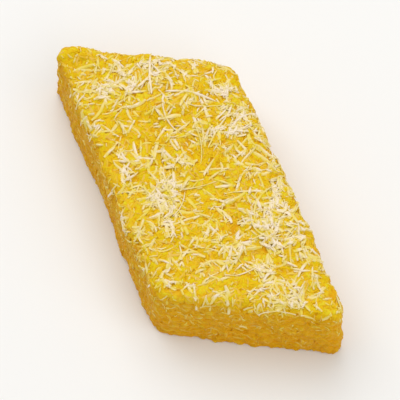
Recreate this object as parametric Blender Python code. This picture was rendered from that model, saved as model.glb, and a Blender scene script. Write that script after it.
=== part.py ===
"""One piece of baklava: a lozenge cut from a slab of yellow paste, with coarse shreds pressed into its crust.

Units are metres and +Z is up. The piece rests on its flat base, centred on the origin. The short sides run
along X, and the long sides slant from far left to near right.
"""

import math
import random

import bmesh
import bpy
from mathutils import Matrix, Vector, noise
from mathutils.bvhtree import BVHTree

MM = 0.001

# The lozenge as it is cut.
LONG_SIDE = 47.0 * MM
SHORT_SIDE = 29.0 * MM
SHARP_ANGLE = math.radians(61.0)
PASTE_HEIGHT = 13.2 * MM
BASE_FLARE = 1.03  # how much wider the slab stands at its base than at its top
CORNER_RADIUS, CORNER_STEPS = 2.4 * MM, 4
TOP_EDGE_RADIUS, TOP_EDGE_STEPS = 1.6 * MM, 3
BASE_EDGE_RADIUS, BASE_EDGE_STEPS = 0.9 * MM, 2
SAME_LEVEL = 0.01 * MM

# The hand-pressed surface: wide hollows, then crumb-sized lumps, each read at its own place in the noise.
MESH_STEP = 2.0 * MM
WIDE_LUMP, WIDE_DEPTH, WIDE_SHIFT = 15.0 * MM, 1.0 * MM, Vector((3.1, 7.7, 1.9))
FINE_LUMP, FINE_DEPTH, FINE_SHIFT = 3.6 * MM, 0.75 * MM, Vector((9.4, 2.2, 5.3))
SIDE_SHARE = 0.5  # the cut sides are this much as rough as the top
FLAT_BASE = 0.4 * MM  # what lies lower than this is sliced off
SNAP = 0.05 * MM  # points this close to the cut are moved onto it

# The shreds, largest first.
SHRED_LENGTH = (6.0 * MM, 2.6 * MM)
SHRED_WIDTH = (1.35 * MM, 0.85 * MM)
SHRED_THICKNESS = 0.62 * MM
SHRED_RISE = 0.16 * MM  # how far a shred's middle line stands above the paste
SHRED_ARCH = 0.10  # bow of a shred, as a share of its length
SHRED_TAPER = 0.45  # how much slimmer a shred is at its ends
TOP_SHREDS = 190
TOP_FROM = 0.7 * PASTE_HEIGHT  # the top face lies above this
TOP_SPACING = 0.55  # least gap between shreds on top, as a share of the gap in an even grid
SIDE_SHREDS = 44
SIDE_SPACING = 2.0 * MM
SIDE_STEEPNESS = 0.5  # a side's normal rises less than this
CLEAR_OF_BASE = 2.0 * MM
TURNS_TRIED = 3
CLUMP_SIZE, CLUMP_SHIFT = 8.5 * MM, Vector((4.7, 1.3, 8.8))
STRAYS = (-0.55, 0.35)  # the noise that a place has to pass to hold a shred, drawn between these
SEED = 61
FLAT_ENOUGH = math.radians(4.0)  # faces closer to one plane than this are made one

PASTE_COLOUR = (0.75, 0.48, 0.05, 1.0)
PASTE_ROUGHNESS = 0.55


def clear_scene():
    """Removes whatever objects the scene holds."""
    for thing in list(bpy.data.objects):
        bpy.data.objects.remove(thing, do_unlink=True)


def paste_material():
    """Moist saffron paste in one plain colour."""
    material = bpy.data.materials.new("saffron_paste")
    material.use_nodes = True
    shader = material.node_tree.nodes["Principled BSDF"]
    shader.inputs["Base Color"].default_value = PASTE_COLOUR
    shader.inputs["Roughness"].default_value = PASTE_ROUGHNESS
    shader.inputs["Metallic"].default_value = 0.0
    return material


def outline_edges(mesh, level):
    """The edges that run round the slab at one height."""
    return [edge for edge in mesh.edges if all(abs(v.co.z - level) < SAME_LEVEL for v in edge.verts)]


def cut_slab(mesh):
    """A slanted block with rounded corners and edges, standing on z = 0."""
    bmesh.ops.create_cube(mesh, size=1.0)
    depth = LONG_SIDE * math.sin(SHARP_ANGLE)
    slant = Matrix.Identity(4)
    slant[0][1] = -1.0 / math.tan(SHARP_ANGLE)
    size = Matrix.Diagonal((SHORT_SIDE, depth, PASTE_HEIGHT, 1.0))
    lift = Matrix.Translation((0.0, 0.0, PASTE_HEIGHT / 2))
    mesh.transform(lift @ slant @ size)
    for vertex in mesh.verts:
        if vertex.co.z < PASTE_HEIGHT / 2:
            vertex.co.xy *= BASE_FLARE
    level = outline_edges(mesh, PASTE_HEIGHT) + outline_edges(mesh, 0.0)
    uprights = [edge for edge in mesh.edges if edge not in level]
    sharp = [edge for edge in uprights if edge.verts[0].co.x * edge.verts[0].co.y < 0.0]
    blunt = [edge for edge in uprights if edge not in sharp]
    round_edges(mesh, sharp, CORNER_RADIUS / math.tan(SHARP_ANGLE / 2), CORNER_STEPS)
    round_edges(mesh, blunt, CORNER_RADIUS * math.tan(SHARP_ANGLE / 2), CORNER_STEPS)
    round_edges(mesh, outline_edges(mesh, PASTE_HEIGHT), TOP_EDGE_RADIUS, TOP_EDGE_STEPS)
    round_edges(mesh, outline_edges(mesh, 0.0), BASE_EDGE_RADIUS, BASE_EDGE_STEPS)


def round_edges(mesh, edges, radius, segments):
    """Rounds some edges, each with so many strips of faces."""
    bmesh.ops.bevel(
        mesh, geom=edges, offset=radius, offset_type="OFFSET", segments=segments, profile=0.5, affect="EDGES"
    )


def apply_modifiers(thing):
    """The object's mesh replaced by the mesh that its modifiers make."""
    bpy.context.view_layer.update()
    graph = bpy.context.evaluated_depsgraph_get()
    made = bpy.data.meshes.new_from_object(thing.evaluated_get(graph))
    thing.modifiers.clear()
    thing.data = made


def lumpiness(place):
    """Height of the pressed surface over its mean, from wide hollows and crumb-sized lumps."""
    wide = noise.noise(place / WIDE_LUMP + WIDE_SHIFT)
    fine = noise.noise(place / FINE_LUMP + FINE_SHIFT)
    return WIDE_DEPTH * wide + FINE_DEPTH * fine


def slice_base_flat(mesh):
    """Slices off the rough underside, closes the cut with one flat face and stands it on z = 0."""
    level = Vector((0.0, 0.0, FLAT_BASE))
    everything = list(mesh.verts) + list(mesh.edges) + list(mesh.faces)
    bmesh.ops.bisect_plane(
        mesh, geom=everything, dist=SNAP, plane_co=level, plane_no=(0.0, 0.0, 1.0), clear_inner=True
    )
    rim = [edge for edge in mesh.edges if edge.is_boundary]
    for edge in rim:
        for vertex in edge.verts:
            vertex.co.z = FLAT_BASE
    bmesh.ops.edgeloop_fill(mesh, edges=rim)
    bmesh.ops.translate(mesh, verts=mesh.verts, vec=-level)


def paste_core(material):
    """The slab with an even mesh, roughened, and pressed flat underneath."""
    data = bpy.data.meshes.new("baklava_piece")
    mesh = bmesh.new()
    cut_slab(mesh)
    mesh.to_mesh(data)
    mesh.free()
    core = bpy.data.objects.new("baklava_piece", data)
    bpy.context.scene.collection.objects.link(core)
    remesh = core.modifiers.new("even_mesh", "REMESH")
    remesh.mode = "VOXEL"
    remesh.voxel_size = MESH_STEP
    apply_modifiers(core)
    mesh = bmesh.new()
    mesh.from_mesh(core.data)
    mesh.normal_update()
    for vertex in mesh.verts:
        facing_up = max(vertex.normal.z, 0.0)
        share = SIDE_SHARE + (1.0 - SIDE_SHARE) * facing_up
        vertex.co += vertex.normal * lumpiness(vertex.co) * share
    slice_base_flat(mesh)
    bmesh.ops.triangulate(mesh, faces=mesh.faces)
    mesh.to_mesh(core.data)
    mesh.free()
    core.data.materials.clear()
    core.data.materials.append(material)
    return core


def shred_mesh(length, width, arch):
    """A flat sliver along X, bowed sideways, whose two ends are slimmer and dip."""
    data = bpy.data.meshes.new("shred")
    mesh = bmesh.new()
    bmesh.ops.create_cube(mesh, size=1.0)
    along = [edge for edge in mesh.edges if abs(edge.verts[0].co.x - edge.verts[1].co.x) > 0.5]
    bmesh.ops.subdivide_edges(mesh, edges=along, cuts=1)
    for vertex in mesh.verts:
        share = 2.0 * vertex.co.x  # -1 at one end, 1 at the other
        slim = 1.0 - SHRED_TAPER * share * share
        vertex.co.x *= length
        vertex.co.y = vertex.co.y * width * slim + arch * length * (1.0 - share * share)
        vertex.co.z = vertex.co.z * SHRED_THICKNESS * slim - 0.5 * SHRED_THICKNESS * share * share
    bmesh.ops.triangulate(mesh, faces=mesh.faces)
    mesh.to_mesh(data)
    mesh.free()
    return data


def lying_on(place, normal, turn):
    """A matrix that lays a strip on the surface at a place, turned about the normal."""
    upright = Vector((0.0, 0.0, 1.0)).rotation_difference(normal).to_matrix().to_4x4()
    return Matrix.Translation(place + normal * SHRED_RISE) @ upright @ Matrix.Rotation(turn, 4, "Z")


def snug_turn(core_tree, place, normal, length, draw):
    """The turn, of a few drawn, that keeps both ends of a strip nearest to the paste."""

    def gap(turn):
        laid = lying_on(place, normal, turn)
        ends = [laid @ Vector((side * length / 2, 0.0, -SHRED_THICKNESS / 2)) for side in (-1.0, 1.0)]
        return max(core_tree.find_nearest(end)[3] for end in ends)

    return min((draw.uniform(0.0, math.pi) for _ in range(TURNS_TRIED)), key=gap)


def clumped(place, draw):
    """True where shreds gather: mostly in clumps, with a few strays between them."""
    return noise.noise(place / CLUMP_SIZE + CLUMP_SHIFT) > draw.uniform(*STRAYS)


def far_enough(place, taken, gap):
    """True where a place is more than a gap away from all that are taken."""
    return all((place - other).length > gap for other, _ in taken)


def top_places(core_tree, reach, draw, count):
    """Places on the upper face, found by looking straight down, no two too close together."""
    gap = TOP_SPACING * reach / math.sqrt(count)
    found = []
    while len(found) < count:
        start = Vector((draw.uniform(-reach, reach), draw.uniform(-reach, reach), 1.0))
        place, normal, _, _ = core_tree.ray_cast(start, Vector((0.0, 0.0, -1.0)))
        if place is None or place.z < TOP_FROM or not clumped(place, draw):
            continue
        if far_enough(place, found, gap):
            found.append((place, normal))
    return found


def side_places(core_tree, reach, draw, count):
    """Places on the cut sides, found by looking level towards the middle line of the slab."""
    found = []
    while len(found) < count:
        around = draw.uniform(0.0, 2.0 * math.pi)
        outward = Vector((math.cos(around), math.sin(around), 0.0))
        level = Vector((0.0, 0.0, draw.uniform(CLEAR_OF_BASE, PASTE_HEIGHT - TOP_EDGE_RADIUS)))
        shift = draw.uniform(-0.6, 0.6) * reach * outward.orthogonal().normalized().cross(outward)
        shift.z = 0.0
        place, normal, _, _ = core_tree.ray_cast(level + shift + outward * 2.0 * reach, -outward)
        if place is None or abs(normal.z) > SIDE_STEEPNESS or not clumped(place, draw):
            continue
        if far_enough(place, found, SIDE_SPACING):
            found.append((place, normal))
    return found


def scatter_shreds(core, loose):
    """Lays the shreds on the core, each its own object in the collection, the largest first."""
    draw = random.Random(SEED)
    shape = bmesh.new()
    shape.from_mesh(core.data)
    core_tree = BVHTree.FromBMesh(shape)
    shape.free()
    reach = LONG_SIDE / 2 + SHORT_SIDE / 2
    spots = [(spot, True) for spot in top_places(core_tree, reach, draw, TOP_SHREDS)]
    spots += [(spot, False) for spot in side_places(core_tree, reach, draw, SIDE_SHREDS)]
    draw.shuffle(spots)
    for number, ((place, normal), on_top) in enumerate(spots):
        small = number / len(spots)
        length = SHRED_LENGTH[0] + (SHRED_LENGTH[1] - SHRED_LENGTH[0]) * small
        width = SHRED_WIDTH[0] + (SHRED_WIDTH[1] - SHRED_WIDTH[0]) * small
        if not on_top:
            length = min(length, place.z)
        arch = draw.uniform(-SHRED_ARCH, SHRED_ARCH)
        strip = bpy.data.objects.new("shred", shred_mesh(length, width, arch))
        strip.matrix_world = lying_on(place, normal, snug_turn(core_tree, place, normal, length, draw))
        loose.objects.link(strip)


def fuse(core, loose):
    """Joins the collection's shreds to the core as one solid and removes the loose ones."""
    join = core.modifiers.new("fused_shreds", "BOOLEAN")
    join.operation = "UNION"
    join.operand_type = "COLLECTION"
    join.collection = loose
    join.solver = "MANIFOLD"  # EXACT leaves a few edges here that four faces share
    apply_modifiers(core)
    for strip in list(loose.objects):
        bpy.data.objects.remove(strip, do_unlink=True)
    bpy.data.collections.remove(loose)


def islands(mesh):
    """The connected pieces of the surface, each as a list of faces."""
    waiting = set(mesh.faces)
    while waiting:
        first = waiting.pop()
        island, edge_of_search = [first], [first]
        while edge_of_search:
            face = edge_of_search.pop()
            for edge in face.edges:
                for other in edge.link_faces:
                    if other in waiting:
                        waiting.remove(other)
                        island.append(other)
                        edge_of_search.append(other)
        yield island


def tidy_solid(core):
    """Fills sealed hollows, drops loose scraps and centres the piece on its base."""
    mesh = bmesh.new()
    mesh.from_mesh(core.data)
    bmesh.ops.dissolve_limit(mesh, angle_limit=FLAT_ENOUGH, verts=mesh.verts, edges=mesh.edges)
    bmesh.ops.triangulate(mesh, faces=mesh.faces)
    ordered = sorted(islands(mesh), key=len, reverse=True)
    scraps = [face for island in ordered[1:] for face in island]
    bmesh.ops.delete(mesh, geom=scraps, context="FACES")
    xs = [vertex.co.x for vertex in mesh.verts]
    ys = [vertex.co.y for vertex in mesh.verts]
    middle = Vector(((min(xs) + max(xs)) / 2, (min(ys) + max(ys)) / 2, 0.0))
    bmesh.ops.translate(mesh, verts=mesh.verts, vec=-middle)
    mesh.to_mesh(core.data)
    mesh.free()


def main():
    """Cuts the slab, lays the shreds and fuses them."""
    clear_scene()
    core = paste_core(paste_material())
    loose = bpy.data.collections.new("loose_shreds")
    bpy.context.scene.collection.children.link(loose)
    scatter_shreds(core, loose)
    fuse(core, loose)
    tidy_solid(core)


main()
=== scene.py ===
"""Dresses one piece of baklava: a lozenge of moist saffron paste under a crust of matted coconut shreds.

Everything is in metres, with +Z up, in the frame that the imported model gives.
"""

import logging
import math
import random
from collections.abc import Callable, Iterable
from dataclasses import dataclass, field
from enum import Enum

import bmesh
import bpy
import numpy as np
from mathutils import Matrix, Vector, noise
from mathutils.bvhtree import BVHTree


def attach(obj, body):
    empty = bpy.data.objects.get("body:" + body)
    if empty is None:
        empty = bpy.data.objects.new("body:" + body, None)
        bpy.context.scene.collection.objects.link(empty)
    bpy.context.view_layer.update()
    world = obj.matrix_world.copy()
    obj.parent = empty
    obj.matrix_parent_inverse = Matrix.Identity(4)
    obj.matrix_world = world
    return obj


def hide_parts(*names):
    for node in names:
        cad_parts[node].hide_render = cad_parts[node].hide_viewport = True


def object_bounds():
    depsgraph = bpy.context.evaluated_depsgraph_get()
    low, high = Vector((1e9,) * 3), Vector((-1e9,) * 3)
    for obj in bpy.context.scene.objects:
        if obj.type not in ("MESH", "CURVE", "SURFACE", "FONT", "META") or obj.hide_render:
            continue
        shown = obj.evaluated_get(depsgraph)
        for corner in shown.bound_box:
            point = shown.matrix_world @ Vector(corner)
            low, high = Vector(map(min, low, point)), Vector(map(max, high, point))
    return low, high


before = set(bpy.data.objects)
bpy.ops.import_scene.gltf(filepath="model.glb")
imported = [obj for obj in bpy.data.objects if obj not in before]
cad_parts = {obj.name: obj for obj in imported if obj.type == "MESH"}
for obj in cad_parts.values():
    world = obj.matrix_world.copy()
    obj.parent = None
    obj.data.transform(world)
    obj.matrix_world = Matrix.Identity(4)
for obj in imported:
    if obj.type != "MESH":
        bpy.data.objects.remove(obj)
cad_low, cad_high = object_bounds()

MM = 0.001
NODE = "baklava_piece"
BODY = "root"

ORIGIN = (0.0, 0.0, 0.0)
SAME_LEVEL = 0.01 * MM
# How far upward a surface faces, as its normal's height: a steep side and a level top.
STEEP, LEVEL = 0.25, 1.0

Colour = tuple[float, float, float, float]
Triple = tuple[float, float, float]
Span = tuple[float, float]

log = logging.getLogger("baklava")


class Corner(Enum):
    """The lozenge's two kinds of corner, with the sign of x times y there."""

    SHARP = -1.0
    BLUNT = 1.0


class Region(Enum):
    """The parts of the lozenge that shreds lie on."""

    TOP = "top"
    SIDE = "side"


class Tone(Enum):
    """How much saffron syrup a strip of coconut has taken up."""

    SOAKED = "soaked"
    DRY = "dry"


# ------------------------------------------------------------------------------------------------
# Helpers for modelling


def deselect_all() -> None:
    """Leaves object mode with nothing selected."""
    if bpy.context.object is not None and bpy.context.object.mode != "OBJECT":
        bpy.ops.object.mode_set(mode="OBJECT")
    bpy.ops.object.select_all(action="DESELECT")


def select_where(wanted: Callable[[bmesh.types.BMEdge], bool]) -> None:
    """Selects the edges of the mesh being edited that pass a test, and nothing else.

    Args:
        wanted: says whether an edge is to be selected.
    """
    bpy.ops.mesh.select_mode(type="EDGE")
    bpy.ops.mesh.select_all(action="DESELECT")
    mesh = bmesh.from_edit_mesh(bpy.context.object.data)
    for edge in mesh.edges:
        if wanted(edge):
            edge.select_set(True)
    mesh.select_flush_mode()
    bmesh.update_edit_mesh(bpy.context.object.data)


def apply_modifier(thing: bpy.types.Object, kind: str, **settings: object) -> None:
    """Adds a modifier to an object, sets it and applies it.

    Args:
        thing: the object, which becomes the active one.
        kind: the modifier's type.
        settings: the modifier's own properties.
    """
    bpy.context.view_layer.objects.active = thing
    modifier = thing.modifiers.new(kind.lower(), kind)
    for name, value in settings.items():
        setattr(modifier, name, value)
    bpy.ops.object.modifier_apply(modifier=modifier.name)


def vertex_places(data: bpy.types.Mesh) -> np.ndarray:
    """A mesh's vertices as rows of x, y and z."""
    places = np.empty(len(data.vertices) * 3)
    data.vertices.foreach_get("co", places)
    return places.reshape(-1, 3)


def set_vertex_places(data: bpy.types.Mesh, places: np.ndarray) -> None:
    """Moves a mesh's vertices to rows of x, y and z."""
    data.vertices.foreach_set("co", places.ravel())
    data.update()


def vertex_normals(data: bpy.types.Mesh) -> np.ndarray:
    """A mesh's vertex normals as rows of x, y and z."""
    normals = np.empty(len(data.vertices) * 3)
    data.vertex_normals.foreach_get("vector", normals)
    return normals.reshape(-1, 3)


def store_value(data: bpy.types.Mesh, name: str, values: np.ndarray) -> None:
    """Keeps one number for each vertex under a name that a material can read."""
    attribute = data.attributes.new(name, "FLOAT", "POINT")
    attribute.data.foreach_set("value", values.astype(np.float32))


def noise_at(places: np.ndarray, size: float, shift: Triple) -> np.ndarray:
    """Smooth noise between about -1 and 1 at each place.

    Args:
        places: rows of x, y and z.
        size: how far apart the noise's bumps are.
        shift: where in the noise to read, so that layers differ.

    Returns:
        One value for each row.
    """
    away = Vector(shift)
    return np.array([noise.noise(Vector(row) / size + away) for row in places])


def grains_at(places: np.ndarray, size: float) -> np.ndarray:
    """Rounded grains packed together, as heights from 0 between them to 1 on top of each.

    Args:
        places: rows of x, y and z.
        size: how far apart the grains are.

    Returns:
        One value for each row.
    """
    steepness, roundness = 1.6, 0.6
    nearest = np.array([noise.voronoi(Vector(row) / size)[0][:2] for row in places])
    from_wall = nearest[:, 1] - nearest[:, 0]
    return np.clip(steepness * from_wall, 0.0, 1.0) ** roundness


def smooth_step(values: np.ndarray, low: float, high: float) -> np.ndarray:
    """0 under low, 1 over high, and an even ramp with soft ends between them."""
    share = np.clip((values - low) / (high - low), 0.0, 1.0)
    return share * share * (3.0 - 2.0 * share)


def syrup_and_side_shade(upward: np.ndarray, heights: np.ndarray) -> np.ndarray:
    """How far a surface is turned amber: none on the level top, more down the sides, most at their foot;
    partly the soaked cut's own colour and partly painted shade on the sides.

    Args:
        upward: how far upward the surface faces at each point, as its normal's height.
        heights: each point's height over the floor.

    Returns:
        Shares from 0 to 1.
    """
    less_at_rim, foot, rim = 0.2, 0.15, 0.95
    risen = smooth_step(heights, foot * cad_high[2], rim * cad_high[2])
    return (1.0 - smooth_step(upward, STEEP, LEVEL)) * (1.0 - less_at_rim * risen)


# ------------------------------------------------------------------------------------------------
# Finishes


class Shader:
    """A material's or a group's node tree, with short ways to add and join nodes."""

    def __init__(self, tree: bpy.types.NodeTree) -> None:
        """Starts with the tree's nodes cleared away."""
        self.tree = tree
        tree.nodes.clear()

    def add(
        self, kind: str, inputs: dict[str | int, object] | None = None, **settings: object
    ) -> bpy.types.Node:
        """Adds a node.

        Args:
            kind: the node's type name.
            inputs: for each input's name or number, a value or the output socket that feeds it.
            settings: the node's own properties.

        Returns:
            The new node.
        """
        node = self.tree.nodes.new(kind)
        for name, value in settings.items():
            setattr(node, name, value)
        for name, value in (inputs or {}).items():
            self.feed(node.inputs[name], value)
        return node

    def feed(self, socket: bpy.types.NodeSocket, value: object) -> None:
        """Links an output socket to an input, or sets the input's own value."""
        if isinstance(value, bpy.types.NodeSocket):
            self.tree.links.new(value, socket)
        else:
            socket.default_value = value

    def math(self, operation: str, first: object, second: object = 0.0) -> bpy.types.NodeSocket:
        """The result of a Math node on two numbers or sockets."""
        node = self.add("ShaderNodeMath", {0: first, 1: second}, operation=operation)
        return node.outputs[0]

    def share(self, mask: object, most: float) -> bpy.types.NodeSocket:
        """A mask made weaker, so that it runs from 0 to a number under 1."""
        return self.math("MULTIPLY", mask, most)

    def blend(self, share: object, first: object, second: object) -> bpy.types.NodeSocket:
        """A mix of two colours.

        Args:
            share: how much of the second colour, from 0 to 1.
            first: a colour or a colour socket.
            second: a colour or a colour socket.

        Returns:
            The mixed colour's socket.
        """
        inputs = {0: share, 6: first, 7: second}
        return self.add("ShaderNodeMix", inputs, data_type="RGBA").outputs[2]

    def ramp(self, value: object, low: float, high: float) -> bpy.types.NodeSocket:
        """A number turned into a soft 0 to 1 step between low and high."""
        inputs = {"Value": value, "From Min": low, "From Max": high}
        node = self.add("ShaderNodeMapRange", inputs, interpolation_type="SMOOTHSTEP")
        return node.outputs["Result"]

    def noise(self, place: object, per_metre: object, detail: float = 2.0) -> bpy.types.NodeSocket:
        """Fractal noise of about 0 to 1 with so many bumps to a metre."""
        inputs = {"Vector": place, "Scale": per_metre, "Detail": detail}
        return self.add("ShaderNodeTexNoise", inputs).outputs["Fac"]

    def place(self) -> bpy.types.NodeSocket:
        """The object's own coordinates."""
        return self.add("ShaderNodeTexCoord").outputs["Object"]

    def attribute(self, name: str) -> bpy.types.NodeSocket:
        """A value that the mesh keeps for each vertex."""
        return self.add("ShaderNodeAttribute", attribute_name=name).outputs["Fac"]

    def effect(self, group: bpy.types.NodeTree, size: float) -> bpy.types.NodeOutputs:
        """Places a shared effect's group with its size in metres, and gives its outputs."""
        return self.add("ShaderNodeGroup", {0: size}, node_tree=group).outputs


def shared_effect(name: str, size_name: str, masks: tuple[str, ...]) -> Shader:
    """Starts a node group that takes one size in metres and puts out masks.

    Args:
        name: the group's name.
        size_name: the name of its one input.
        masks: the names of its outputs.

    Returns:
        The group's nodes, with none added yet.
    """
    group = bpy.data.node_groups.new(name, "ShaderNodeTree")
    group.interface.new_socket(size_name, in_out="INPUT", socket_type="NodeSocketFloat")
    for mask in masks:
        group.interface.new_socket(mask, in_out="OUTPUT", socket_type="NodeSocketFloat")
    return Shader(group)


def crumb_relief() -> bpy.types.NodeTree:
    """The height of fine crumb on moist paste and coconut, and a mask of the hollows between its grains.

    Returns:
        A group with Grain Size in metres, and outputs Height and Hollows, both from 0 to 1.
    """
    name = "crumb relief"
    warp_share, finer_by, fine_detail = 0.9, 2.6, 3.0
    dome_share, fine_share, hollow_edge = 0.65, 0.35, (0.45, 0.85)
    if name in bpy.data.node_groups:
        return bpy.data.node_groups[name]
    shader = shared_effect(name, "Grain Size", ("Height", "Hollows"))
    size = shader.add("NodeGroupInput").outputs["Grain Size"]
    place = shader.place()
    per_metre = shader.math("DIVIDE", 1.0, size)
    warp = shader.add("ShaderNodeTexNoise", {"Vector": place, "Scale": per_metre, "Detail": 1.0})
    shake = shader.add("ShaderNodeVectorMath", {0: warp.outputs["Color"]}, operation="SCALE")
    shader.feed(shake.inputs["Scale"], shader.share(size, warp_share))
    moved = shader.add("ShaderNodeVectorMath", {0: place, 1: shake.outputs[0]}, operation="ADD")
    grains = shader.add("ShaderNodeTexVoronoi", {"Vector": moved.outputs[0], "Scale": per_metre})
    distance = grains.outputs["Distance"]
    fine = shader.noise(place, shader.math("MULTIPLY", per_metre, finer_by), fine_detail)
    dome = shader.math("SUBTRACT", 1.0, distance)
    height = shader.math("ADD", shader.share(dome, dome_share), shader.share(fine, fine_share))
    hollows = shader.ramp(distance, *hollow_edge)
    shader.add("NodeGroupOutput", {"Height": height, "Hollows": hollows})
    return shader.tree


def syrup_patches() -> bpy.types.NodeTree:
    """Where paste and coconut are rubbed pale, and where syrup has soaked them darker.

    Returns:
        A group with Patch Size in metres, and outputs Pale and Soaked, both from 0 to 1.
    """
    name = "syrup patches"
    detail, finer_by, pale_edge, soaked_edge = 3.0, 2.1, (0.42, 0.66), (0.5, 0.72)
    if name in bpy.data.node_groups:
        return bpy.data.node_groups[name]
    shader = shared_effect(name, "Patch Size", ("Pale", "Soaked"))
    size = shader.add("NodeGroupInput").outputs["Patch Size"]
    place = shader.place()
    per_metre = shader.math("DIVIDE", 1.0, size)
    pale = shader.ramp(shader.noise(place, per_metre, detail), *pale_edge)
    finer = shader.noise(place, shader.math("MULTIPLY", per_metre, finer_by))
    shader.add("NodeGroupOutput", {"Pale": pale, "Soaked": shader.ramp(finer, *soaked_edge)})
    return shader.tree


@dataclass(frozen=True)
class Finish:
    """What every finish on the piece shares: matt and faintly rough, over a fine crumb.

    light_spread is how far red, green and blue light travel inside, as shares of light_reach. Each pair of
    mask values in a finish is where a soft step starts and ends, and each share is the most it mixes in.
    """

    grain: float = 0.5 * MM
    patch: float = 6.2 * MM
    bump_strength: float = 0.5
    bump_depth: float = 0.2 * MM
    roughness: Span = (0.35, 0.6)
    gloss: float = 0.08
    translucency: float = 0.0
    light_reach: float = 0.8 * MM
    light_spread: Triple = (1.0, 0.5, 0.1)

    def material(self, name: str) -> bpy.types.Material:
        """The finish as a material.

        Args:
            name: the material's name.

        Returns:
            The material, with its colour from the finish's own colour method.
        """
        material = bpy.data.materials.new(name)
        material.use_nodes = True
        shader = Shader(material.node_tree)
        crumb = shader.effect(crumb_relief(), self.grain)
        low, high = self.roughness
        rough = shader.math("ADD", shader.share(crumb["Height"], high - low), low)
        bump = shader.add("ShaderNodeBump", {"Height": crumb["Height"]})
        bump.inputs["Strength"].default_value = self.bump_strength
        bump.inputs["Distance"].default_value = self.bump_depth
        surface = shader.add("ShaderNodeBsdfPrincipled", {"Roughness": rough})
        shader.feed(surface.inputs["Base Color"], self.colour(shader, crumb["Hollows"]))
        shader.feed(surface.inputs["Normal"], bump.outputs["Normal"])
        surface.inputs["Specular IOR Level"].default_value = self.gloss
        surface.inputs["Subsurface Weight"].default_value = self.translucency
        surface.inputs["Subsurface Radius"].default_value = self.light_spread
        surface.inputs["Subsurface Scale"].default_value = self.light_reach
        shader.add("ShaderNodeOutputMaterial", {"Surface": surface.outputs["BSDF"]})
        return material

    def colour(self, shader: Shader, hollows: bpy.types.NodeSocket) -> bpy.types.NodeSocket:
        """The colour's socket, which each finish makes in its own way.

        Args:
            shader: the material's nodes.
            hollows: the mask of the hollows between grains.

        Returns:
            The colour's socket.
        """
        raise NotImplementedError


@dataclass(frozen=True)
class PasteFinish(Finish):
    """Moist saffron paste: deep gold, paler in patches where it is rubbed dry and amber in patches where
    syrup gathers; amber down the sides is partly painted shade, amber in hollows is painted shade, and pale
    on what stands out is painted light.
    """

    gold: Colour = (0.78, 0.560, 0.005, 1.0)
    pale: Colour = (0.80, 0.640, 0.028, 1.0)
    amber: Colour = (0.76, 0.345, 0.002, 1.0)
    grain: float = 0.55 * MM
    bump_strength: float = 0.75
    bump_depth: float = 0.3 * MM
    roughness: Span = (0.32, 0.57)
    translucency: float = 0.2
    patch_share: float = 0.6
    # side_share mixes in the sides' amber, which is partly painted shade; the depth and grain shares below
    # paint shade in low places and light on high ones.
    side_share: float = 0.85
    hollow_shade_depths: Span = (0.45, 0.1)
    hollow_shade_share: float = 0.75
    crest_light_depths: Span = (0.6, 0.95)
    crest_light_share: float = 0.4
    grain_shade_share: float = 0.35

    def colour(self, shader: Shader, hollows: bpy.types.NodeSocket) -> bpy.types.NodeSocket:
        """Gold in patches, then amber down the sides (partly soaked cut, partly painted shade), amber in
        hollows as painted shade, and pale on what stands out as painted light.
        """
        depth = shader.attribute("depth")
        patches = shader.effect(syrup_patches(), self.patch)
        colour = shader.blend(patches["Pale"], self.gold, self.pale)
        colour = shader.blend(shader.share(patches["Soaked"], self.patch_share), colour, self.amber)
        # Partly the soaked cut's own colour, partly painted shade: amber down the sides and at their foot.
        colour = shader.blend(shader.share(shader.attribute("syrup"), self.side_share), colour, self.amber)
        # Painted shade: amber where the crumb lies low.
        low = shader.ramp(depth, *self.hollow_shade_depths)
        colour = shader.blend(shader.share(low, self.hollow_shade_share), colour, self.amber)
        # Painted light: pale where the crumb stands high.
        high = shader.ramp(depth, *self.crest_light_depths)
        colour = shader.blend(shader.share(high, self.crest_light_share), colour, self.pale)
        # Painted shade: amber in the hollows between the bump's grains.
        return shader.blend(shader.share(hollows, self.grain_shade_share), colour, self.amber)


@dataclass(frozen=True)
class CoconutFinish(Finish):
    """What soaked and dry strips share: a finer grain than the paste, and blotches that break up stains."""

    gold: Colour = (0.79, 0.605, 0.008, 1.0)
    cream: Colour = (0.81, 0.675, 0.240, 1.0)
    grain: float = 0.3 * MM
    bump_strength: float = 0.35
    bump_depth: float = 0.08 * MM
    roughness: Span = (0.38, 0.58)
    blotches_per_metre: float = 900.0

    def blotches(self, shader: Shader) -> bpy.types.NodeSocket:
        """The blotches as noise of about 0 to 1."""
        return shader.noise(shader.place(), self.blotches_per_metre)


@dataclass(frozen=True)
class SoakedFinish(CoconutFinish):
    """Grated coconut that has taken up saffron syrup, strip by strip and most where it touches the paste."""

    amber: Colour = (0.76, 0.355, 0.003, 1.0)
    pale_tints: Span = (0.45, 1.0)
    pale_share: float = 0.7
    blotch_edge: Span = (0.45, 0.75)
    stain_edge: Span = (0.55, 1.0)
    stain_share: float = 0.5
    patch_share: float = 0.6
    syrup_and_shade_tints: Span = (1.1, 0.3)

    def colour(self, shader: Shader, hollows: bpy.types.NodeSocket) -> bpy.types.NodeSocket:
        """Gold or cream by the strip's own tint, amber in patches and low down, and amber on the sides that
        is partly soaked and partly painted shade.
        """
        tint = shader.attribute("tint")
        patches = shader.effect(syrup_patches(), self.patch)
        pale = shader.share(shader.ramp(tint, *self.pale_tints), self.pale_share)
        colour = shader.blend(pale, self.gold, self.cream)
        blotch = shader.ramp(self.blotches(shader), *self.blotch_edge)
        low = shader.ramp(shader.attribute("stain"), *self.stain_edge)
        darker = shader.share(shader.math("MAXIMUM", blotch, low), self.stain_share)
        darker = shader.math("MAXIMUM", darker, shader.share(patches["Soaked"], self.patch_share))
        # Amber on the sides, partly soaked and partly painted shade, less on the paler strips.
        uptake = shader.ramp(tint, *self.syrup_and_shade_tints)
        syrup = shader.math("MULTIPLY", shader.attribute("syrup"), uptake)
        return shader.blend(shader.math("MAXIMUM", darker, syrup), colour, self.amber)


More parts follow.
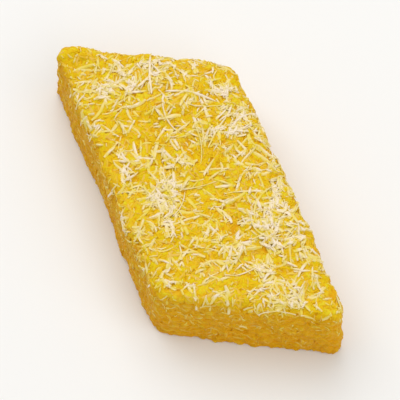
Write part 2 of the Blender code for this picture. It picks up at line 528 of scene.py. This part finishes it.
@dataclass(frozen=True)
class DryFinish(CoconutFinish):
    """Grated coconut that has stayed dry: off-white, and stained gold where it touches the paste."""

    white: Colour = (0.87, 0.745, 0.565, 1.0)
    gloss: float = 0.25
    cream_tints: Span = (0.35, 1.0)
    blotch_share: float = 0.5
    stain_edge: Span = (0.3, 1.0)
    stain_share: float = 0.75

    def colour(self, shader: Shader, hollows: bpy.types.NodeSocket) -> bpy.types.NodeSocket:
        """White to cream by the strip's own tint, and gold low down with a blotched edge."""
        cream = shader.ramp(shader.attribute("tint"), *self.cream_tints)
        colour = shader.blend(cream, self.white, self.cream)
        blotch = shader.math("SUBTRACT", self.blotches(shader), 0.5)
        wet = shader.math("ADD", shader.attribute("stain"), shader.share(blotch, self.blotch_share))
        gold = shader.share(shader.ramp(wet, *self.stain_edge), self.stain_share)
        return shader.blend(gold, colour, self.gold)


# ------------------------------------------------------------------------------------------------
# The paste


@dataclass
class Paste:
    """The lozenge itself, cut from a pressed slab, with its crumbly skin."""

    long_side: float = 47.0 * MM
    short_side: float = 29.0 * MM
    sharp_angle: float = math.radians(61.0)
    height: float = 13.2 * MM
    base_flare: float = 1.03
    corner_radius: float = 2.4 * MM
    corner_steps: int = 8
    top_edge_radius: float = 1.6 * MM
    base_edge_radius: float = 0.9 * MM
    edge_steps: int = 6
    pressed_off: float = 0.4 * MM
    mesh_step: float = 0.34 * MM
    wide_lump: float = 15.0 * MM
    wide_depth: float = 1.0 * MM
    wide_shift: Triple = (3.1, 7.7, 1.9)
    fine_lump: float = 3.6 * MM
    fine_depth: float = 0.75 * MM
    fine_shift: Triple = (9.4, 2.2, 5.3)
    side_share: float = 0.5
    grain_sizes: tuple[float, ...] = (1.9 * MM, 1.0 * MM)
    grain_depths: tuple[float, ...] = (0.30 * MM, 0.20 * MM)
    crumb_size: float = 0.6 * MM
    crumb_depth: float = 0.25 * MM
    crumb_shift: Triple = (8.8, 1.2, 3.5)

    def build(self) -> bpy.types.Object:
        """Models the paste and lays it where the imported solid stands.

        Returns:
            The finished piece.
        """
        block = self.cut_block()
        apply_modifier(block, "REMESH", mode="VOXEL", voxel_size=self.mesh_step)
        self.roughen(block.data)
        self.press_base(block.data)
        self.stand_on_solid(block.data)
        bpy.ops.object.shade_smooth()
        block.data.materials.clear()
        block.data.materials.append(PasteFinish().material("saffron_paste"))
        return block

    def cut_block(self) -> bpy.types.Object:
        """A slanted block with rounded corners and edges, standing on z = 0."""
        deselect_all()
        bpy.ops.mesh.primitive_cube_add(size=1.0, location=ORIGIN)
        block = bpy.context.object
        block.name = block.data.name = "paste"
        size = (self.short_side, self.long_side * math.sin(self.sharp_angle), self.height)
        slant = self.long_side * math.cos(self.sharp_angle) / 2
        bpy.ops.object.mode_set(mode="EDIT")
        bpy.ops.mesh.select_all(action="SELECT")
        bpy.ops.transform.resize(value=size, center_override=ORIGIN)
        bpy.ops.transform.translate(value=(0.0, 0.0, self.height / 2))
        for side in (-1.0, 1.0):
            select_where(lambda edge: all(vertex.co.y * side > 0.0 for vertex in edge.verts))
            bpy.ops.transform.translate(value=(-side * slant, 0.0, 0.0))
        select_where(lambda edge: self.runs_at(edge, 0.0))
        flare = (self.base_flare, self.base_flare, 1.0)
        bpy.ops.transform.resize(value=flare, center_override=ORIGIN)
        self.round_corners()
        for level, radius in ((self.height, self.top_edge_radius), (0.0, self.base_edge_radius)):
            select_where(lambda edge: self.runs_at(edge, level))
            bpy.ops.mesh.bevel(offset=radius, segments=self.edge_steps, affect="EDGES")
        bpy.ops.object.mode_set(mode="OBJECT")
        return block

    def round_corners(self) -> None:
        """Rounds the four standing edges, all to one radius whatever their angle."""
        half = math.tan(self.sharp_angle / 2)
        for corner, reach in ((Corner.SHARP, 1.0 / half), (Corner.BLUNT, half)):
            select_where(lambda edge: self.stands_at(edge, corner))
            offset = self.corner_radius * reach
            bpy.ops.mesh.bevel(offset=offset, segments=self.corner_steps, affect="EDGES")

    def runs_at(self, edge: bmesh.types.BMEdge, level: float) -> bool:
        """True for an edge that runs level at one height."""
        return all(abs(vertex.co.z - level) < SAME_LEVEL for vertex in edge.verts)

    def stands_at(self, edge: bmesh.types.BMEdge, corner: Corner) -> bool:
        """True for an edge that runs from the base to the top at one kind of corner."""
        foot, head = edge.verts
        return abs(head.co.z - foot.co.z) > self.height / 2 and foot.co.x * foot.co.y * corner.value > 0.0

    def roughen(self, data: bpy.types.Mesh) -> None:
        """Gives the block its hollows, its lumps and its crumb, and notes how deep each point lies."""
        places = vertex_places(data)
        normals = vertex_normals(data)
        wide = self.wide_depth * noise_at(places, self.wide_lump, self.wide_shift)
        fine = self.fine_depth * noise_at(places, self.fine_lump, self.fine_shift)
        upward = normals[:, 2]
        form = (wide + fine) * (self.side_share + (1.0 - self.side_share) * np.clip(upward, 0.0, 1.0))
        crumb = self.crumb_depth * noise_at(places, self.crumb_size, self.crumb_shift)
        for size, depth in zip(self.grain_sizes, self.grain_depths):
            crumb += depth * (grains_at(places, size) - 0.5)
        set_vertex_places(data, places + normals * (form + crumb)[:, None])
        # depth later paints shade on the low crumb and light on the high crumb.
        store_value(data, "depth", np.clip(0.5 + crumb / sum(self.grain_depths), 0.0, 1.0))
        # syrup paints the sides amber, partly the soaked cut's colour and partly painted shade.
        store_value(data, "syrup", syrup_and_side_shade(upward, places[:, 2]))

    def press_base(self, data: bpy.types.Mesh) -> None:
        """Presses the rough underside level, so that the block stands on z = 0."""
        places = vertex_places(data)
        places[:, 2] = np.maximum(places[:, 2] - self.pressed_off, 0.0)
        set_vertex_places(data, places)

    def stand_on_solid(self, data: bpy.types.Mesh) -> None:
        """Moves the block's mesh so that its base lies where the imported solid's base does."""
        solid = vertex_places(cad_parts[NODE].data)
        places = vertex_places(data)
        set_vertex_places(data, places + self.base_middle(solid) - self.base_middle(places))

    def base_middle(self, places: np.ndarray) -> np.ndarray:
        """The middle of the points that lie on the floor."""
        base = places[places[:, 2] < SAME_LEVEL]
        return (base.min(axis=0) + base.max(axis=0)) / 2


# ------------------------------------------------------------------------------------------------
# The coconut


@dataclass
class Bed:
    """What shreds come to rest on: the paste and all that is already laid.

    The bare paste, which stains what touches it, and the same paste smoothed are kept too.
    """

    bare: BVHTree
    smooth: BVHTree
    corners: list[np.ndarray] = field(default_factory=list)
    faces: list[np.ndarray] = field(default_factory=list)
    tree: BVHTree | None = None

    @classmethod
    def of_paste(cls, paste: bpy.types.Object) -> "Bed":
        """The bed before any strip is laid."""
        rounds, pull = 30, 0.5
        axes = {"use_axis_x": True, "use_axis_y": True, "use_axis_z": True}
        mesh = bmesh.new()
        mesh.from_mesh(paste.data)
        bare = BVHTree.FromBMesh(mesh)
        for _ in range(rounds):
            bmesh.ops.smooth_vert(mesh, verts=mesh.verts, factor=pull, **axes)
        bed = cls(bare, BVHTree.FromBMesh(mesh))
        mesh.free()
        paste.data.calc_loop_triangles()
        rows = np.empty(len(paste.data.loop_triangles) * 3, dtype=np.int64)
        paste.data.loop_triangles.foreach_get("vertices", rows)
        rows = rows.reshape(-1, 3)
        bed.add(vertex_places(paste.data), np.concatenate([rows, rows[:, 2:]], axis=1))
        return bed

    def add(self, corners: np.ndarray, faces: np.ndarray) -> None:
        """Adds a mesh to what later strips rest on.

        Args:
            corners: rows of x, y and z.
            faces: rows of four corner numbers, with a triangle's last one repeated.
        """
        start = sum(len(block) for block in self.corners)
        self.corners.append(corners)
        self.faces.append(faces + start)
        polygons = [tuple(face) for block in self.faces for face in block.tolist()]
        self.tree = BVHTree.FromPolygons(np.concatenate(self.corners).tolist(), polygons)


@dataclass(frozen=True)
class ShredStock:
    """A few shapes of grated strip that all the laid ones are copies of.

    A strip runs along X from -0.5 to 0.5, and its width and thickness are both 1. ragged_steps is how many
    bumps of noise fit in it each way, and ragged_shift is how far on each next shape reads the noise.
    """

    shapes: int = 7
    sides: int = 6
    segments: int = 5
    seed: int = 5
    slimming: Span = (0.1, 0.5)
    taper: float = 2.4
    raggedness: float = 0.22
    ragged_steps: Triple = (5.0, 1.3, 0.0)
    ragged_shift: Triple = (9.1, 0.0, 0.4)
    kept_thickness: float = 0.5
    slanted_end: float = 0.12

    def model(self) -> list[tuple[np.ndarray, np.ndarray]]:
        """Models each shape once.

        Returns:
            For each shape, its corners and its faces as rows of four corner numbers.
        """
        return [self.model_one(number) for number in range(self.shapes)]

    def model_one(self, number: int) -> tuple[np.ndarray, np.ndarray]:
        """Models one strip from a bar: divided, ragged along its edges and thin at its ends.

        Args:
            number: which of the shapes, which settles its raggedness.

        Returns:
            Its corners and its faces, with a triangle's last corner repeated.
        """
        draw = random.Random(self.seed + number)
        bar = self.divided_bar()
        places = vertex_places(bar.data)
        outward = np.abs(2.0 * places[:, 0])
        at_end = outward > 0.95
        slim = 1.0 - draw.uniform(*self.slimming) * outward**self.taper
        shift = (number * self.ragged_shift[0], *self.ragged_shift[1:])
        along = places * self.ragged_steps + shift
        places[:, 1] = (places[:, 1] + self.raggedness * noise_at(along, 1.0, ORIGIN)) * slim
        places[:, 2] *= self.kept_thickness + (1.0 - self.kept_thickness) * slim
        slant = draw.uniform(-self.slanted_end, self.slanted_end)
        places[:, 0] += slant * places[:, 1] * at_end
        rows = [list(face.vertices) for face in bar.data.polygons]
        bpy.data.objects.remove(bar, do_unlink=True)
        return places, np.array([row + row[-1:] * (4 - len(row)) for row in rows])

    def divided_bar(self) -> bpy.types.Object:
        """A bar along X with its long edges divided into segments."""
        deselect_all()
        along_x, nearly_whole = (0.0, math.pi / 2, 0.0), 0.9
        bpy.ops.mesh.primitive_cylinder_add(
            vertices=self.sides, radius=0.5, depth=1.0, end_fill_type="TRIFAN", rotation=along_x
        )
        bar = bpy.context.object
        bpy.ops.object.transform_apply(location=True, rotation=True, scale=True)
        bpy.ops.object.mode_set(mode="EDIT")
        select_where(lambda edge: abs(edge.verts[0].co.x - edge.verts[1].co.x) > nearly_whole)
        bpy.ops.mesh.subdivide(number_cuts=self.segments - 1)
        bpy.ops.object.mode_set(mode="OBJECT")
        return bar


@dataclass
class Strip:
    """One strip being laid: its place and directions, its size and how far it bows sideways."""

    place: Vector
    normal: Vector
    ahead: Vector
    across: Vector
    length: float
    width: float
    thickness: float
    bow: float

    def bowed(self, along: np.ndarray | float) -> np.ndarray | float:
        """How far sideways the middle line runs at a share of the length from -0.5 to 0.5."""
        return self.bow * (1.0 - 4.0 * along * along)

    def ground(self, bed: Bed, steps: np.ndarray) -> np.ndarray:
        """How high the bed stands under the middle line.

        Args:
            bed: what the strip is laid on.
            steps: the shares of the length at which to feel for it, from -0.5 to 0.5.

        Returns:
            Heights over the strip's place, and NaN where nothing lies under it.
        """
        drop = 3.0 * MM
        heights = []
        for step in steps:
            point = self.place + self.ahead * (step * self.length) + self.across * self.bowed(step)
            hit = bed.tree.ray_cast(point + self.normal * drop, -self.normal, 2.0 * drop)[0]
            heights.append(math.nan if hit is None else (hit - self.place).dot(self.normal))
        return np.array(heights)

    def bend(self, corners: np.ndarray, steps: np.ndarray, rest: np.ndarray, roll: Span) -> np.ndarray:
        """Bends a stock shape to the line that the strip rests along.

        Args:
            corners: the stock shape's corners.
            steps: shares of the length, from -0.5 to 0.5.
            rest: the middle line's height at each of those steps.
            roll: the angles by which the middle is rolled and the ends are twisted further.

        Returns:
            The corners in their places.
        """
        along = corners[:, 0]
        angle = roll[0] + roll[1] * 2.0 * along
        side = corners[:, 1] * self.width
        up = corners[:, 2] * self.thickness
        side, up = side * np.cos(angle) - up * np.sin(angle), side * np.sin(angle) + up * np.cos(angle)
        slope = np.interp(along, steps, np.gradient(rest, steps) / self.length)
        return (
            np.array(self.place)
            + np.outer(along * self.length - up * slope, self.ahead)
            + np.outer(self.bowed(along) + side, self.across)
            + np.outer(np.interp(along, steps, rest) + up, self.normal)
        )


@dataclass
class ShredCrust:
    """One kind of strip scattered over one region, each laid on what is under it.

    sink is the share of its thickness that a strip sinks in, flex how far it follows bumps, curl how far
    an end may lift as a share of its length, and roll how far it is rolled and twisted, in radians. The
    share of the strips that clump gives keeps to tufts, whose pattern is named by a number.
    """

    highest: float
    name: str
    count: int
    length: Span
    width: Span
    thickness: Span
    seed: int
    tone: Tone = Tone.SOAKED
    region: Region = Region.TOP
    stock: ShredStock = ShredStock(segments=3, seed=29)
    sink: float = 0.5
    flex: float = 0.7
    curl: float = 0.0
    roll: float = 0.3
    clump: float = 0.0
    tufts: int = 0
    batches: int = 1
    lowest: float = 0.1 * MM
    reach: float = 32.0 * MM
    side_foot: float = 0.4 * MM
    side_rise: float = 12.4 * MM
    rise: float = 1.0
    tuft_size: float = 7.5 * MM
    lock_size: float = 2.6 * MM
    size_fall: float = 1.5
    size_spread: Span = (0.75, 1.15)
    bow: float = 0.07
    feelers: int = 7
    least_held: int = 5
    overhang: float = 0.2 * MM
    stain_reach: float = 0.5 * MM
    crisp: float = math.radians(40.0)

    @property
    def slot(self) -> str:
        """A material slot's name for these strips, handed back with each piece; their finish is made under
        their own name.
        """
        return "coconut_shreds" if self.tone is Tone.DRY else "saffron_paste"

    def finish(self) -> Finish:
        """The strips' finish."""
        return DryFinish() if self.tone is Tone.DRY else SoakedFinish()

    def lay(self, bed: Bed) -> tuple[np.ndarray, np.ndarray, np.ndarray]:
        """Lays the strips, the largest first, in batches that rest on the ones before.

        Args:
            bed: what the strips rest on, which grows with each batch.

        Returns:
            All corners, all faces, and each corner's tint.
        """
        draw = random.Random(self.seed)
        shapes = self.stock.model()
        in_batch = self.count // self.batches
        all_corners, all_faces, all_tints = [], [], []
        start = 0
        for batch in range(self.batches):
            first = len(all_corners)
            batch_start = start
            for number in range(in_batch):
                smallness = (batch * in_batch + number) / self.count
                laid = self.lay_one(bed, shapes, smallness, draw)
                if laid is None:
                    continue
                corners, faces, tint = laid
                all_corners.append(corners)
                all_faces.append(faces + start)
                all_tints.append(np.full(len(corners), tint))
                start += len(corners)
            faces = np.concatenate(all_faces[first:]) - batch_start
            bed.add(np.concatenate(all_corners[first:]), faces)
        return np.concatenate(all_corners), np.concatenate(all_faces), np.concatenate(all_tints)

    def lay_one(
        self, bed: Bed, shapes: list[tuple[np.ndarray, np.ndarray]], smallness: float, draw: random.Random
    ) -> tuple[np.ndarray, np.ndarray, float] | None:
        """Lays one strip: drops points along its middle line onto the bed and bends it to suit them.

        Args:
            bed: what the strip rests on.
            shapes: the stock shapes.
            smallness: 0 for the largest strips and 1 for the smallest.
            draw: where the chance comes from.

        Returns:
            Its corners, its faces and its tint, or None where it found no room.
        """
        strip = self.draw_strip(bed, smallness, draw)
        if strip is None:
            return None
        steps = np.linspace(-0.5, 0.5, self.feelers)
        rest = self.rest_line(strip, strip.ground(bed, steps), steps, draw)
        if rest is None:
            return None
        corners, faces = shapes[draw.randrange(len(shapes))]
        roll = (draw.gauss(0.0, self.roll), draw.gauss(0.0, self.roll))
        shape = strip.bend(corners, steps, rest, roll)
        if shape[:, 2].min() < self.lowest or shape[:, 2].max() > self.highest:
            return None
        return shape, faces, draw.random()

    def draw_strip(self, bed: Bed, smallness: float, draw: random.Random) -> Strip | None:
        """Draws a strip's place, size and direction, or gives None where no place is found."""
        tries, slimmest = 60, 0.6
        found = None
        for _ in range(tries):
            found = self.draw_place(bed, draw)
            if found is not None:
                break
        if found is None:
            return None
        place, normal = found
        size = (1.0 - smallness) ** self.size_fall * draw.uniform(*self.size_spread)
        length = self.length[0] + (self.length[1] - self.length[0]) * size
        width = draw.uniform(*self.width) * (slimmest + (1.0 - slimmest) * size)
        thickness = draw.uniform(*self.thickness)
        turn = draw.uniform(0.0, 2.0 * math.pi)
        level = normal.orthogonal().normalized()
        ahead = (level * math.cos(turn) + normal.cross(level) * math.sin(turn)).normalized()
        bow = draw.gauss(0.0, self.bow) * length
        return Strip(place, normal, ahead, normal.cross(ahead), length, width, thickness, bow)

    def draw_place(self, bed: Bed, draw: random.Random) -> tuple[Vector, Vector] | None:
        """One place drawn on the region, with the smooth paste's normal there, or None for a miss."""
        far, widest = 0.1, 0.6
        if self.region is Region.TOP:
            across = (draw.uniform(-self.reach, self.reach), draw.uniform(-self.reach, self.reach))
            start = Vector((*across, far))
            aim = Vector((0.0, 0.0, -1.0))
        else:
            around = draw.uniform(0.0, 2.0 * math.pi)
            aim = Vector((-math.cos(around), -math.sin(around), 0.0))
            offset = Vector((aim.y, -aim.x, 0.0)) * draw.uniform(-widest, widest) * self.reach
            level = self.side_foot + self.side_rise * draw.random() ** self.rise
            start = offset - aim * far + Vector((0.0, 0.0, level))
        place, normal, _, _ = bed.smooth.ray_cast(start, aim)
        if place is None or not self.belongs(normal) or not self.gathers(place, draw):
            return None
        return place, normal

    def belongs(self, normal: Vector) -> bool:
        """True where a normal is that of this kind's region."""
        least_upward, most_upward = 0.25, 0.6
        if self.region is Region.TOP:
            return normal.z >= least_upward
        return abs(normal.z) <= most_upward

    def gathers(self, place: Vector, draw: random.Random) -> bool:
        """True where a strip may lie: anywhere for the loose ones, in the tufts for the others."""
        strength, bare = 0.8, (0.0, 0.4)
        tuft_shift = Vector((1.7, self.tufts * 0.37, 2.9))
        lock_shift = Vector((5.7, self.tufts * 0.21, 8.9))
        tuft = noise.noise(place / self.tuft_size + tuft_shift)
        lock = noise.noise(place / self.lock_size + lock_shift)
        return draw.random() >= self.clump or strength * (tuft + lock) >= draw.uniform(*bare)

    def rest_line(
        self, strip: Strip, ground: np.ndarray, steps: np.ndarray, draw: random.Random
    ) -> np.ndarray | None:
        """Where a strip's middle line comes to rest, partly straight and partly bent to the ground.

        Args:
            strip: the strip.
            ground: the ground's height at each step, with NaN for none.
            steps: shares of the length, from -0.5 to 0.5.
            draw: where the chance comes from.

        Returns:
            The line's height at each step, or None where it would hang over an edge or stand too high.
        """
        softening, held_up, lift_bend, lifted_from = (0.25, 0.5, 0.25), 80, 2.5, -0.1
        known = ~np.isnan(ground)
        if known.sum() < self.least_held:
            return None
        straight = np.polyval(np.polyfit(steps[known], ground[known], 1), steps)
        ground = np.where(known, ground, straight - self.overhang)
        ground = np.convolve(np.pad(ground, 1, mode="edge"), softening, mode="valid")
        rest = (1.0 - self.flex) * straight + self.flex * ground
        rest += max(0.0, float(np.percentile(ground - rest, held_up)))
        rest += (0.5 - self.sink) * strip.thickness
        lift = abs(draw.gauss(0.0, self.curl)) * strip.length * np.abs(2.0 * steps) ** lift_bend
        rest += lift * (steps * draw.choice((-1, 1)) > lifted_from)
        top = max((strip.place + strip.normal * float(height)).z for height in rest)
        return None if top > self.highest else rest

    def build(self, bed: Bed) -> bpy.types.Object:
        """Lays the strips and makes them one piece.

        Args:
            bed: what the strips rest on.

        Returns:
            The finished piece.
        """
        corners, faces, tints = self.lay(bed)
        data = bpy.data.meshes.new(self.name)
        data.from_pydata(corners.tolist(), [], [tuple(dict.fromkeys(face)) for face in faces.tolist()])
        data.update()
        gaps = np.array([bed.bare.find_nearest(Vector(row))[3] for row in corners])
        upward = np.array([bed.smooth.find_nearest(Vector(row))[1].z for row in corners])
        # syrup: amber down the sides, partly soaked and partly painted shade.
        store_value(data, "syrup", syrup_and_side_shade(upward, corners[:, 2]))
        store_value(data, "stain", 1.0 - smooth_step(gaps, 0.0, self.stain_reach))
        store_value(data, "tint", tints)
        piece = bpy.data.objects.new(self.name, data)
        bpy.context.scene.collection.objects.link(piece)
        data.materials.append(self.finish().material(self.name))
        self.shade(piece)
        return piece

    def shade(self, piece: bpy.types.Object) -> None:
        """Shades the strips smooth but for their crisp cut edges."""
        deselect_all()
        bpy.context.view_layer.objects.active = piece
        piece.select_set(True)
        bpy.ops.object.shade_smooth()
        bpy.ops.object.mode_set(mode="EDIT")
        bpy.ops.mesh.select_mode(type="EDGE")
        bpy.ops.mesh.select_all(action="DESELECT")
        bpy.ops.mesh.edges_select_sharp(sharpness=self.crisp)
        bpy.ops.mesh.mark_sharp()
        bpy.ops.object.mode_set(mode="OBJECT")


@dataclass
class SoakedShreds(ShredCrust):
    """The matted golden layer: short soaked strips pressed into the top."""

    name: str = "soaked_shreds"
    count: int = 2600
    length: Span = (0.6 * MM, 2.8 * MM)
    width: Span = (0.28 * MM, 0.62 * MM)
    thickness: Span = (0.2 * MM, 0.34 * MM)
    sink: float = 0.7
    flex: float = 0.85
    roll: float = 0.12
    batches: int = 3
    seed: int = 11


@dataclass
class SideShreds(ShredCrust):
    """Soaked strips in the cut sides, most of their thickness in the paste."""

    name: str = "side_shreds"
    region: Region = Region.SIDE
    count: int = 2000
    length: Span = (0.5 * MM, 2.2 * MM)
    width: Span = (0.28 * MM, 0.64 * MM)
    thickness: Span = (0.22 * MM, 0.4 * MM)
    sink: float = 0.75
    flex: float = 0.85
    roll: float = 0.35
    clump: float = 0.2
    tufts: int = 23
    batches: int = 2
    seed: int = 23


@dataclass
class WhiteShreds(ShredCrust):
    """Long dry strips in loose tufts on the top."""

    name: str = "white_shreds"
    tone: Tone = Tone.DRY
    stock: ShredStock = ShredStock()
    count: int = 1000
    length: Span = (0.9 * MM, 4.0 * MM)
    width: Span = (0.3 * MM, 0.72 * MM)
    thickness: Span = (0.14 * MM, 0.26 * MM)
    curl: float = 0.03
    roll: float = 0.25
    clump: float = 0.85
    tufts: int = 37
    batches: int = 4
    seed: int = 37


@dataclass
class WhiteFlecks(ShredCrust):
    """Broken dry bits in the same tufts as the long ones."""

    name: str = "white_flecks"
    tone: Tone = Tone.DRY
    stock: ShredStock = ShredStock(sides=5, segments=2, seed=71)
    count: int = 1700
    length: Span = (0.4 * MM, 1.5 * MM)
    width: Span = (0.3 * MM, 0.62 * MM)
    thickness: Span = (0.14 * MM, 0.25 * MM)
    sink: float = 0.45
    roll: float = 0.35
    clump: float = 0.8
    tufts: int = 37
    batches: int = 2
    seed: int = 37


@dataclass
class SideFlecks(ShredCrust):
    """The few dry bits that cling to the sides, most of them near the rim."""

    name: str = "side_flecks"
    tone: Tone = Tone.DRY
    region: Region = Region.SIDE
    stock: ShredStock = ShredStock(sides=5, segments=2, seed=71)
    count: int = 260
    length: Span = (0.35 * MM, 1.6 * MM)
    width: Span = (0.2 * MM, 0.5 * MM)
    thickness: Span = (0.15 * MM, 0.26 * MM)
    sink: float = 0.6
    clump: float = 0.8
    tufts: int = 41
    seed: int = 41
    rise: float = 0.3


@dataclass
class LongStrands(ShredCrust):
    """A handful of whole dry threads that ended up on top of everything else."""

    name: str = "long_strands"
    tone: Tone = Tone.DRY
    stock: ShredStock = ShredStock(segments=12, seed=91)
    count: int = 15
    length: Span = (4.6 * MM, 8.0 * MM)
    width: Span = (0.3 * MM, 0.46 * MM)
    thickness: Span = (0.16 * MM, 0.24 * MM)
    sink: float = 0.3
    curl: float = 0.015
    clump: float = 0.9
    tufts: int = 37
    seed: int = 53
    bow: float = 0.1
    feelers: int = 15
    least_held: int = 13


@dataclass
class Coconut:
    """All the grated coconut on the piece, from the matted golden layer to the loose white strips."""

    proud: float = 0.38 * MM

    def build(self, paste: bpy.types.Object) -> Iterable[tuple[bpy.types.Object, str]]:
        """Lays each kind on top of the last.

        Args:
            paste: the finished paste.

        Yields:
            Each finished piece and the name of its material slot.
        """
        bed = Bed.of_paste(paste)
        highest = cad_high[2] + self.proud
        for kind in (SoakedShreds, SideShreds, WhiteShreds, WhiteFlecks, SideFlecks, LongStrands):
            crust = kind(highest)
            yield crust.build(bed), crust.slot


# ------------------------------------------------------------------------------------------------
# The studio


@dataclass(frozen=True)
class SoftLight:
    """A square soft light that faces the piece, with its side's length and its power in watts."""

    name: str
    place: Triple
    size: float
    power: float

    def hang(self) -> None:
        """Hangs the light in the scene."""
        data = bpy.data.lights.new(self.name, "AREA")
        data.shape = "SQUARE"
        data.size = self.size
        data.energy = self.power
        light = bpy.data.objects.new(self.name, data)
        light.location = self.place
        light.rotation_euler = (-Vector(self.place)).to_track_quat("-Z", "Y").to_euler()
        bpy.context.scene.collection.objects.link(light)


@dataclass
class Studio:
    """A pale floor, soft lights and the camera."""

    floor_size: float = 3.0
    floor_colour: Colour = (0.86, 0.855, 0.84, 1.0)
    floor_roughness: float = 0.7
    floor_gloss: float = 0.2
    sky_colour: Colour = (1.0, 0.99, 0.97, 1.0)
    sky_strength: float = 0.5
    lights: tuple[SoftLight, ...] = (
        SoftLight("key", (-0.28, 0.40, 0.70), 0.9, 5.0),
        SoftLight("fill", (0.45, -0.35, 0.60), 0.8, 2.4),
    )
    azimuth: float = math.radians(8.0)
    elevation: float = math.radians(63.0)
    lens: float = 180.0
    view_width: float = 0.062
    clip_start: float = 0.01
    aim: Triple = (0.0005, 0.0, 0.005)

    def build(self) -> None:
        """Sets up everything that isn't part of the piece."""
        self.lay_floor()
        self.light_sky()
        for light in self.lights:
            light.hang()
        self.place_camera()
        bpy.context.scene.view_settings.view_transform = "Standard"

    def lay_floor(self) -> None:
        """The plain pale floor."""
        deselect_all()
        bpy.ops.mesh.primitive_plane_add(size=self.floor_size, location=ORIGIN)
        floor = bpy.context.object
        floor.name = "floor"
        material = bpy.data.materials.new("pale_floor")
        material.use_nodes = True
        surface = material.node_tree.nodes["Principled BSDF"]
        surface.inputs["Base Color"].default_value = self.floor_colour
        surface.inputs["Roughness"].default_value = self.floor_roughness
        surface.inputs["Specular IOR Level"].default_value = self.floor_gloss
        floor.data.materials.append(material)

    def light_sky(self) -> None:
        """An even pale surround."""
        world = bpy.data.worlds.new("surround")
        world.use_nodes = True
        background = world.node_tree.nodes["Background"]
        background.inputs["Color"].default_value = self.sky_colour
        background.inputs["Strength"].default_value = self.sky_strength
        bpy.context.scene.world = world

    def place_camera(self) -> None:
        """Looks down on the piece from in front, a little to its right."""
        data = bpy.data.cameras.new("camera")
        data.lens = self.lens
        data.clip_start = self.clip_start
        distance = self.view_width * self.lens / data.sensor_width
        height, level = math.sin(self.elevation), math.cos(self.elevation)
        away = Vector((math.sin(self.azimuth) * level, -math.cos(self.azimuth) * level, height))
        camera = bpy.data.objects.new("camera", data)
        camera.location = Vector(self.aim) + away * distance
        camera.rotation_euler = (-away).to_track_quat("-Z", "Y").to_euler()
        bpy.context.scene.collection.objects.link(camera)
        bpy.context.scene.camera = camera


def main() -> None:
    """Builds the paste, then the coconut on it, then the studio round them."""
    logging.basicConfig(level=logging.INFO, format="%(name)s: %(message)s")
    paste = Paste().build()
    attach(paste, BODY)
    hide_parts(NODE)
    log.info("%s: %d faces", paste.name, len(paste.data.polygons))
    for piece, slot in Coconut().build(paste):
        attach(piece, BODY)
        log.info("%s: %d faces", piece.name, len(piece.data.polygons))
    Studio().build()


if __name__ == "__main__":
    main()
